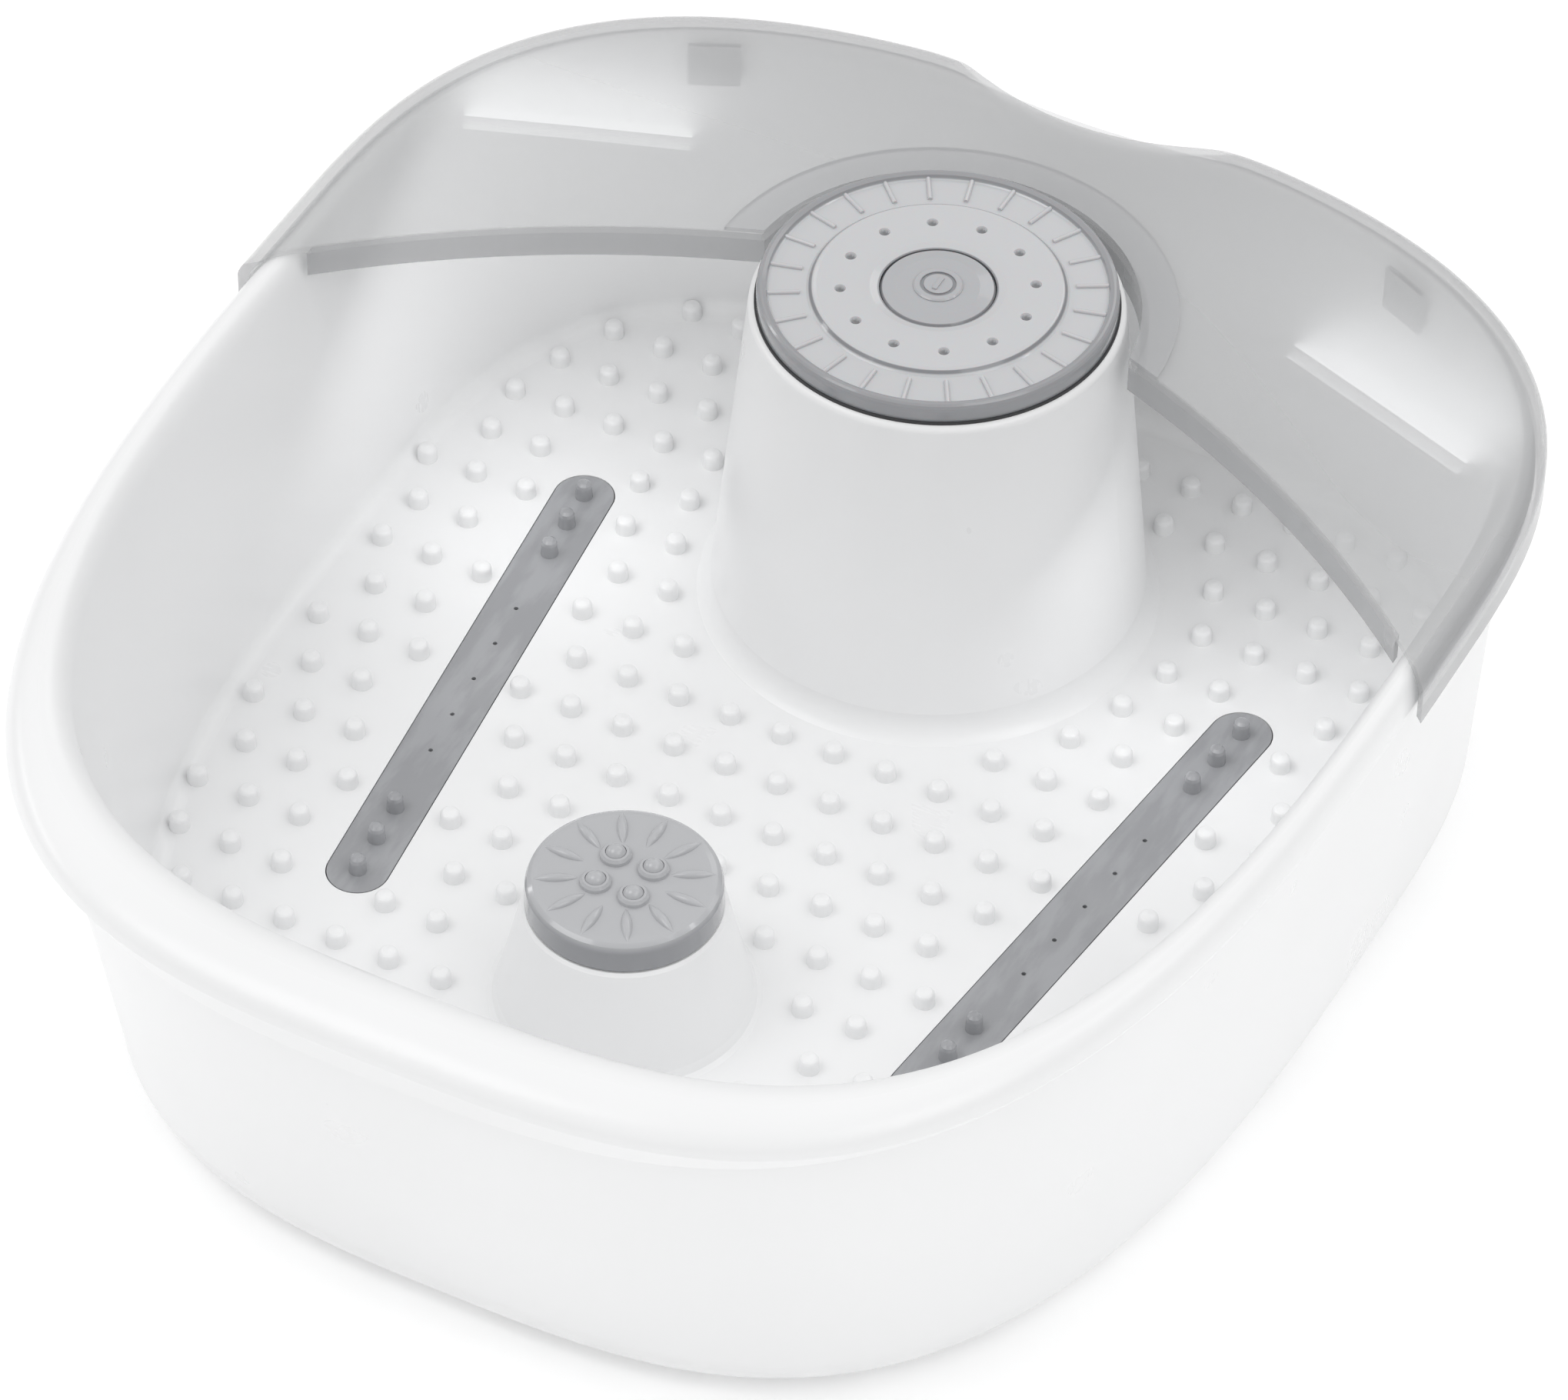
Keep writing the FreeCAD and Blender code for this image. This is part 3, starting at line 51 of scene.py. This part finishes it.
# ---- places taken from the frame -----------------------------------------------------------
DISC_LOW, DISC_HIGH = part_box("control_disc")
DISC_AXIS = (DISC_LOW + DISC_HIGH) / 2
DISC_TOP = DISC_HIGH.z
CAP_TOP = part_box("massage_cap")[1].z
GUARD_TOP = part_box("splash_guard")[1].z

# ---- marks on the parts --------------------------------------------------------------------
LOW_DARKENING_FROM, LOW_DARKENING_TO = 0.003, 0.016     # heights between which the shell's darkening towards its lowest edge fades out

SHEET_TOP = GUARD_TOP - 0.0012           # the guard's flat sheet, below its raised edge
SHEET_BOTTOM = SHEET_TOP - 0.0024
SHEET_FRONT_Y, SHEET_REAR_Y = 0.02, 0.19  # between these it is painted lighter to the front and darker to the rear, as light and shade
SHEET_NEAR_X, SHEET_FAR_X = 0.04, 0.15    # and between these painted darker towards the right, as shade

DISC_BUTTON = 0.0142                     # radii on the control disc
DISC_BUTTON_SHADE = (0.0148, 0.0225)
DISC_DIMPLES = (0.0232, 0.0266)
DISC_VALLEY = (0.0334, 0.0424)
DISC_BEAD = (0.0434, 0.06)
DISC_GROOVES = ((0.0325, 0.0004), (0.0148, 0.0006), (0.0042, 0.0005))     # radius, half width
DIMPLE_FLOOR, DIMPLE_LIP = DISC_TOP - 0.0013, DISC_TOP - 0.00055
MARK_SOFTNESS = 0.0002

CAP_SIDE_TOP, CAP_CROWN = CAP_TOP - 0.0045, CAP_TOP - 0.0016


# ---- node helpers --------------------------------------------------------------------------
def new_material(name, colour, roughness, **sockets):
    """A Principled material with its constant values set on the shader's own sockets."""
    material = bpy.data.materials.new(name)
    material.use_nodes = True
    shader = principled(material)
    shader.inputs["Base Color"].default_value = (*colour, 1)
    shader.inputs["Roughness"].default_value = roughness
    for socket, value in sockets.items():
        shader.inputs[socket.replace("_", " ")].default_value = value
    return material


def principled(material):
    return material.node_tree.nodes["Principled BSDF"]


def node(owner, kind, **settings):
    """A new node of a material or the world, its settings given to sockets or else properties."""
    made = owner.node_tree.nodes.new(kind)
    for key, value in settings.items():
        if key in made.inputs:
            made.inputs[key].default_value = value
        else:
            setattr(made, key, value)
    return made


def join(owner, start, end):
    owner.node_tree.links.new(start, end)


def socket_from(material, socket, output):
    join(material, output, principled(material).inputs[socket])


def place(material, stretch=(1, 1, 1), offset=(0, 0, 0)):
    """Object coordinates in metres, stretched and shifted."""
    where = node(material, "ShaderNodeTexCoord")
    mapping = node(material, "ShaderNodeMapping", Scale=stretch, Location=offset)
    join(material, where.outputs["Object"], mapping.inputs["Vector"])
    return mapping.outputs["Vector"]


def coordinate(material, axis):
    """One of the X, Y and Z object coordinates, in metres."""
    split = node(material, "ShaderNodeSeparateXYZ")
    join(material, place(material), split.inputs["Vector"])
    return split.outputs[axis]


def radius_from(material, centre):
    """Distance from an upright axis, in metres."""
    length = node(material, "ShaderNodeVectorMath", operation="LENGTH")
    flat = place(material, (1, 1, 0), (-centre.x, -centre.y, 0))
    join(material, flat, length.inputs[0])
    return length.outputs["Value"]


def noise(material, scale, detail, stretch=(1, 1, 1)):
    """Noise from 0 to 1 with a number of features to the metre."""
    made = node(material, "ShaderNodeTexNoise", Scale=scale, Detail=detail)
    join(material, place(material, stretch), made.inputs["Vector"])
    return made.outputs["Fac"]


def spread(owner, value, low, high, from_low=0.3, from_high=0.7):
    """Maps a value smoothly from one range to another, clamped."""
    made = node(owner, "ShaderNodeMapRange", interpolation_type="SMOOTHSTEP")
    limits = {"From Min": from_low, "From Max": from_high, "To Min": low, "To Max": high}
    for socket, number in limits.items():
        made.inputs[socket].default_value = number
    join(owner, value, made.inputs["Value"])
    return made.outputs["Result"]


def combined(material, operation, first, second):
    """The sum, product or other operation on two values, each a number or an output."""
    made = node(material, "ShaderNodeMath", operation=operation)
    for socket, value in zip(made.inputs, (first, second)):
        if isinstance(value, (int, float)):
            socket.default_value = value
        else:
            join(material, value, socket)
    return made.outputs["Value"]


def band(material, value, low, high, soft):
    """1 between two values and 0 outside them, with soft edges."""
    rise = spread(material, value, 0, 1, low - soft, low + soft)
    fall = spread(material, value, 1, 0, high - soft, high + soft)
    return combined(material, "MULTIPLY", rise, fall)


def blend_colours(material, share, first, second):
    """The first colour where the share is 0 and the second where it is 1."""
    made = node(material, "ShaderNodeMix", data_type="RGBA")
    join(material, share, made.inputs["Factor"])
    for name, colour in (("A", first), ("B", second)):
        socket = [s for s in made.inputs if s.name == name and s.type == "RGBA"][0]
        if isinstance(colour, tuple):
            socket.default_value = (*colour, 1)
        else:
            join(material, colour, socket)
    return [s for s in made.outputs if s.type == "RGBA"][0]


def bumps(material, *layers):
    """Stacks bump layers; each layer is (height, strength, depth in metres)."""
    last = None
    for height, strength, depth in layers:
        made = node(material, "ShaderNodeBump", Strength=strength, Distance=depth)
        join(material, height, made.inputs["Height"])
        if last:
            join(material, last, made.inputs["Normal"])
        last = made.outputs["Normal"]
    socket_from(material, "Normal", last)


def tinted(colour, factor):
    return tuple(min(1.0, channel * factor) for channel in colour)


def cloudy(material, colour):
    """A colour that drifts a little lighter and darker over the part."""
    cloud = spread(material, noise(material, scale=9, detail=2), 0, 1, 0.2, 0.8)
    return blend_colours(material, cloud, tinted(colour, 0.98), tinted(colour, 1.02))


# ---- kinds of surface ----------------------------------------------------------------------
def moulded(name, colour, roughness, texture, **sockets):
    """Injection-moulded plastic: drifting colour, uneven gloss, orange peel and fine scuffs."""
    material = new_material(name, colour, roughness, **sockets)
    socket_from(material, "Base Color", cloudy(material, colour))
    patches = noise(material, scale=30, detail=2)
    gloss = spread(material, patches, roughness * 0.9, roughness * 1.12, 0.2, 0.8)
    scratches = noise(material, scale=240, detail=5, stretch=(1, 5, 1))
    scuff = spread(material, scratches, 0, roughness * 0.08, 0.5, 0.95)
    socket_from(material, "Roughness", combined(material, "ADD", gloss, scuff))
    orange_peel = (noise(material, scale=70, detail=1), texture, 0.0003)
    grain = (noise(material, scale=1500, detail=2), texture, 0.00002)
    bumps(material, orange_peel, grain)
    return material


def metal(name, colour, roughness, stretch=(1, 1, 1)):
    """Bare metal with drawn lines and dull patches."""
    material = new_material(name, colour, roughness, Metallic=1.0)
    patch = spread(material, noise(material, scale=60, detail=5), 0, 1)
    tone = blend_colours(material, patch, tinted(colour, 0.86), tinted(colour, 1.05))
    socket_from(material, "Base Color", tone)
    drawn = noise(material, scale=40, detail=8, stretch=stretch)
    socket_from(material, "Roughness", spread(material, drawn, roughness * 0.75, roughness * 1.3))
    bumps(material, (noise(material, scale=300, detail=4, stretch=stretch), 0.15, 0.00005))
    return material


# ---- materials, one for each slot ----------------------------------------------------------
def white_shell():
    """White shell, darker in patches along its lowest edge."""
    colour = (0.895, 0.898, 0.902)
    material = moulded("white_shell", colour, 0.30, 0.05, Coat_Weight=0.15, Coat_Roughness=0.2)
    # darker in patches towards the bottom edge
    low = spread(material, coordinate(material, "Z"), 0.5, 0, LOW_DARKENING_FROM, LOW_DARKENING_TO)
    patches = spread(material, noise(material, scale=80, detail=5), 0, 1)
    low_darkening = combined(material, "MULTIPLY", low, patches)
    tone = blend_colours(material, low_darkening, cloudy(material, colour), tinted(colour, 0.8))
    socket_from(material, "Base Color", tone)
    return material


def guard_clear():
    """Smoky clear plastic, darker where light crosses more of it: its edges, ribs and collar. Its
    sheet is painted lighter to the front and darker to the rear and right, as light and shade.
    """
    thin = (0.60, 0.605, 0.61)
    thick = (0.45, 0.455, 0.465)
    material = moulded("guard_clear", thin, 0.16, 0.04, Coat_Weight=0.5, Coat_Roughness=0.05)
    height = coordinate(material, "Z")
    sheet = band(material, height, SHEET_BOTTOM, SHEET_TOP + 0.0001, MARK_SOFTNESS)
    solid = combined(material, "SUBTRACT", 1.0, sheet)
    tone = blend_colours(material, solid, cloudy(material, thin), thick)
    socket_from(material, "Base Color", tone)
    # painted light and shade: the sheet less opaque and lighter towards the front, more opaque and
    # darker towards the right
    painted_light_front = spread(material, coordinate(material, "Y"), 0.14, 0, SHEET_FRONT_Y, SHEET_REAR_Y)
    painted_shade_right = spread(material, coordinate(material, "X"), 0, 0.08, SHEET_NEAR_X, SHEET_FAR_X)
    alpha = combined(material, "ADD", combined(material, "SUBTRACT", 0.40, painted_light_front), painted_shade_right)
    extra = combined(material, "MULTIPLY", solid, 0.2)
    socket_from(material, "Alpha", combined(material, "ADD", alpha, extra))
    return material


def disc_grey():
    """Smoky satin disc with a dark bead; painted shade darkens its grooves and dimples, and a little
    its sunk valley and the face round its button.
    """
    face = (0.57, 0.575, 0.59)
    shaded_face = (0.56, 0.565, 0.58)
    dark = (0.24, 0.245, 0.26)
    material = moulded("disc_grey", shaded_face, 0.20, 0.04, Coat_Weight=0.6, Coat_Roughness=0.06,
                       Subsurface_Weight=0.15, Subsurface_Scale=0.002)
    radius = radius_from(material, DISC_AXIS)
    # painted shade: the sunk valley, and the face round the button, a little darker than the rest of
    # the face
    valley = band(material, radius, *DISC_VALLEY, 0.0012)
    button_shade = spread(material, radius, 0.7, 0, *DISC_BUTTON_SHADE)
    low = combined(material, "MAXIMUM", valley, button_shade)
    tone = blend_colours(material, low, face, cloudy(material, shaded_face))

    # the bead is dark; the grooves and the button's gap are painted dark as shade
    marks = combined(material, "MULTIPLY", band(material, radius, *DISC_BEAD, MARK_SOFTNESS), 0.75)
    for groove, half in DISC_GROOVES:
        groove_shade = band(material, radius, groove - half, groove + half, MARK_SOFTNESS)
        marks = combined(material, "MAXIMUM", marks, groove_shade)
    tone = blend_colours(material, marks, tone, dark)

    within = band(material, radius, -1, DISC_BUTTON, 0.0003)
    button = combined(material, "MULTIPLY", within, 0.5)
    tone = blend_colours(material, button, tone, tinted(dark, 1.3))

    # painted shade inside the dimples, darkest at their floors
    dimples = band(material, radius, *DISC_DIMPLES, MARK_SOFTNESS)
    sunk = spread(material, coordinate(material, "Z"), 0.85, 0, DIMPLE_FLOOR, DIMPLE_LIP)
    pit_shade = combined(material, "MULTIPLY", dimples, sunk)
    socket_from(material, "Base Color", blend_colours(material, pit_shade, tone, tinted(dark, 0.5)))
    return material


def grey_gloss():
    """Glossy grey cap, its side painted darker than its crown as shade."""
    pale = (0.46, 0.465, 0.48)
    side_shade_tone = (0.25, 0.255, 0.27)
    material = moulded("grey_gloss", pale, 0.17, 0.04, Coat_Weight=0.6, Coat_Roughness=0.05)
    # painted shade: the cap's side darker than its crown
    side = spread(material, coordinate(material, "Z"), 0.85, 0, CAP_SIDE_TOP, CAP_CROWN)
    tone = blend_colours(material, side, cloudy(material, pale), side_shade_tone)
    socket_from(material, "Base Color", tone)
    return material


def strip_grey():
    """Grey strip with the faint flow marks of its moulding."""
    colour = (0.345, 0.35, 0.365)
    material = moulded("strip_grey", colour, 0.24, 0.06, Coat_Weight=0.3, Coat_Roughness=0.12)
    streaks = noise(material, scale=60, detail=5, stretch=(3, 0.7, 1))
    flow = spread(material, streaks, 0, 1, 0.42, 0.62)
    tone = blend_colours(material, flow, tinted(colour, 0.93), tinted(colour, 1.08))
    socket_from(material, "Base Color", tone)
    return material


MATERIALS = {
    "white_shell": white_shell(),
    "guard_clear": guard_clear(),
    "disc_grey": disc_grey(),
    "grey_gloss": grey_gloss(),
    "strip_grey": strip_grey(),
    "rubber": moulded("rubber", (0.045, 0.045, 0.048), 0.65, 0.3),
    "steel": metal("steel", (0.62, 0.63, 0.65), 0.32, (1, 1, 12)),
    "inner_plastic": moulded("inner_plastic", (0.72, 0.72, 0.69), 0.5, 0.2),
    "dark_plastic": moulded("dark_plastic", (0.03, 0.03, 0.033), 0.45, 0.2),
    "cast_metal": metal("cast_metal", (0.26, 0.26, 0.27), 0.55),
    "brass": metal("brass", (0.72, 0.53, 0.27), 0.35),
    "aluminium": metal("aluminium", (0.75, 0.76, 0.78), 0.3, (12, 1, 1)),
    "board_green": moulded("board_green", (0.03, 0.16, 0.07), 0.35, 0.15),
    "wire_sleeve": moulded("wire_sleeve", (0.38, 0.03, 0.025), 0.45, 0.15),
}

for part in frame["record"]["subparts"]:
    cad = frame["nodes"][part["node"]]
    cad.data.materials.clear()
    cad.data.materials.append(MATERIALS[part["material_slot"]])


# ---- camera, lights and surroundings -------------------------------------------------------
def make_camera():
    turn, rise, roll = (math.radians(angle) for angle in (AZIMUTH, ELEVATION, ROLL))
    back = Vector((math.sin(turn) * math.cos(rise), -math.cos(turn) * math.cos(rise), math.sin(rise)))
    level = Vector((math.cos(turn), math.sin(turn), 0))
    right = level * math.cos(roll) + back.cross(level) * math.sin(roll)
    data = bpy.data.cameras.new("camera")
    data.lens = LENS
    data.sensor_width = SENSOR
    data.sensor_fit = "HORIZONTAL"
    camera = bpy.data.objects.new("camera", data)
    axes = Matrix((right, back.cross(right), back)).transposed()
    camera.matrix_world = Matrix.Translation(AIM + back * DISTANCE) @ axes.to_4x4()
    bpy.context.scene.collection.objects.link(camera)
    bpy.context.scene.camera = camera


def make_light(name, where, size, watts, towards=SUBJECT):
    data = bpy.data.lights.new(name, "AREA")
    data.shape = "RECTANGLE"
    data.size, data.size_y = size
    data.energy = watts
    light = bpy.data.objects.new(name, data)
    light.location = where
    facing = (Vector(towards) - Vector(where)).to_track_quat("-Z", "Y")
    light.rotation_euler = facing.to_euler()
    bpy.context.scene.collection.objects.link(light)


def make_floor():
    mesh = bpy.data.meshes.new("floor")
    corners = [(x * FLOOR_REACH, y * FLOOR_REACH, 0) for x, y in ((-1, -1), (1, -1), (1, 1), (-1, 1))]
    mesh.from_pydata(corners, [], [(0, 1, 2, 3)])
    floor = bpy.data.objects.new("floor", mesh)
    paper = moulded("floor_paper", (0.95, 0.95, 0.95), 0.8, 0.05,
                    Emission_Color=(1, 1, 1, 1), Emission_Strength=FLOOR_GLOW)
    floor.data.materials.append(paper)
    bpy.context.scene.collection.objects.link(floor)


def make_world():
    """A white dome, dimmer towards the horizon so that upright faces keep some tone."""
    world = bpy.data.worlds.new("studio")
    world.use_nodes = True
    background = world.node_tree.nodes["Background"]
    background.inputs["Color"].default_value = (1, 1, 1, 1)
    towards = node(world, "ShaderNodeTexCoord")
    split = node(world, "ShaderNodeSeparateXYZ")
    join(world, towards.outputs["Generated"], split.inputs["Vector"])
    strength = spread(world, split.outputs["Z"], HORIZON, ZENITH, HORIZON_AT, ZENITH_AT)
    join(world, strength, background.inputs["Strength"])
    bpy.context.scene.world = world


def make_lights():
    """Large soft panels, two slim ones for the guard's glints and two fills under the guard."""
    make_light("key", where=(-1.1, -0.9, 2.3), size=(1.2, 1.4), watts=10)
    make_light("fill", where=(1.6, -0.5, 1.9), size=(1.2, 1.2), watts=6)
    make_light("back", where=(0.5, 2.1, 1.7), size=(2.2, 0.8), watts=5)
    make_light("left_glint", where=(-1.8, -0.15, 0.85), size=(1.0, 0.12), watts=2.0)
    make_light("right_glint", where=(1.1, 0.6, 1.55), size=(0.12, 0.9), watts=1.2)
    for side in (-1, 1):
        make_light("under_guard", where=(side * 0.105, 0.09, 0.108), size=(0.06, 0.12),
                   watts=0.02, towards=(side * 0.13, 0.16, 0))


make_camera()
make_floor()
make_world()
make_lights()
bpy.context.scene.view_settings.view_transform = "Standard"
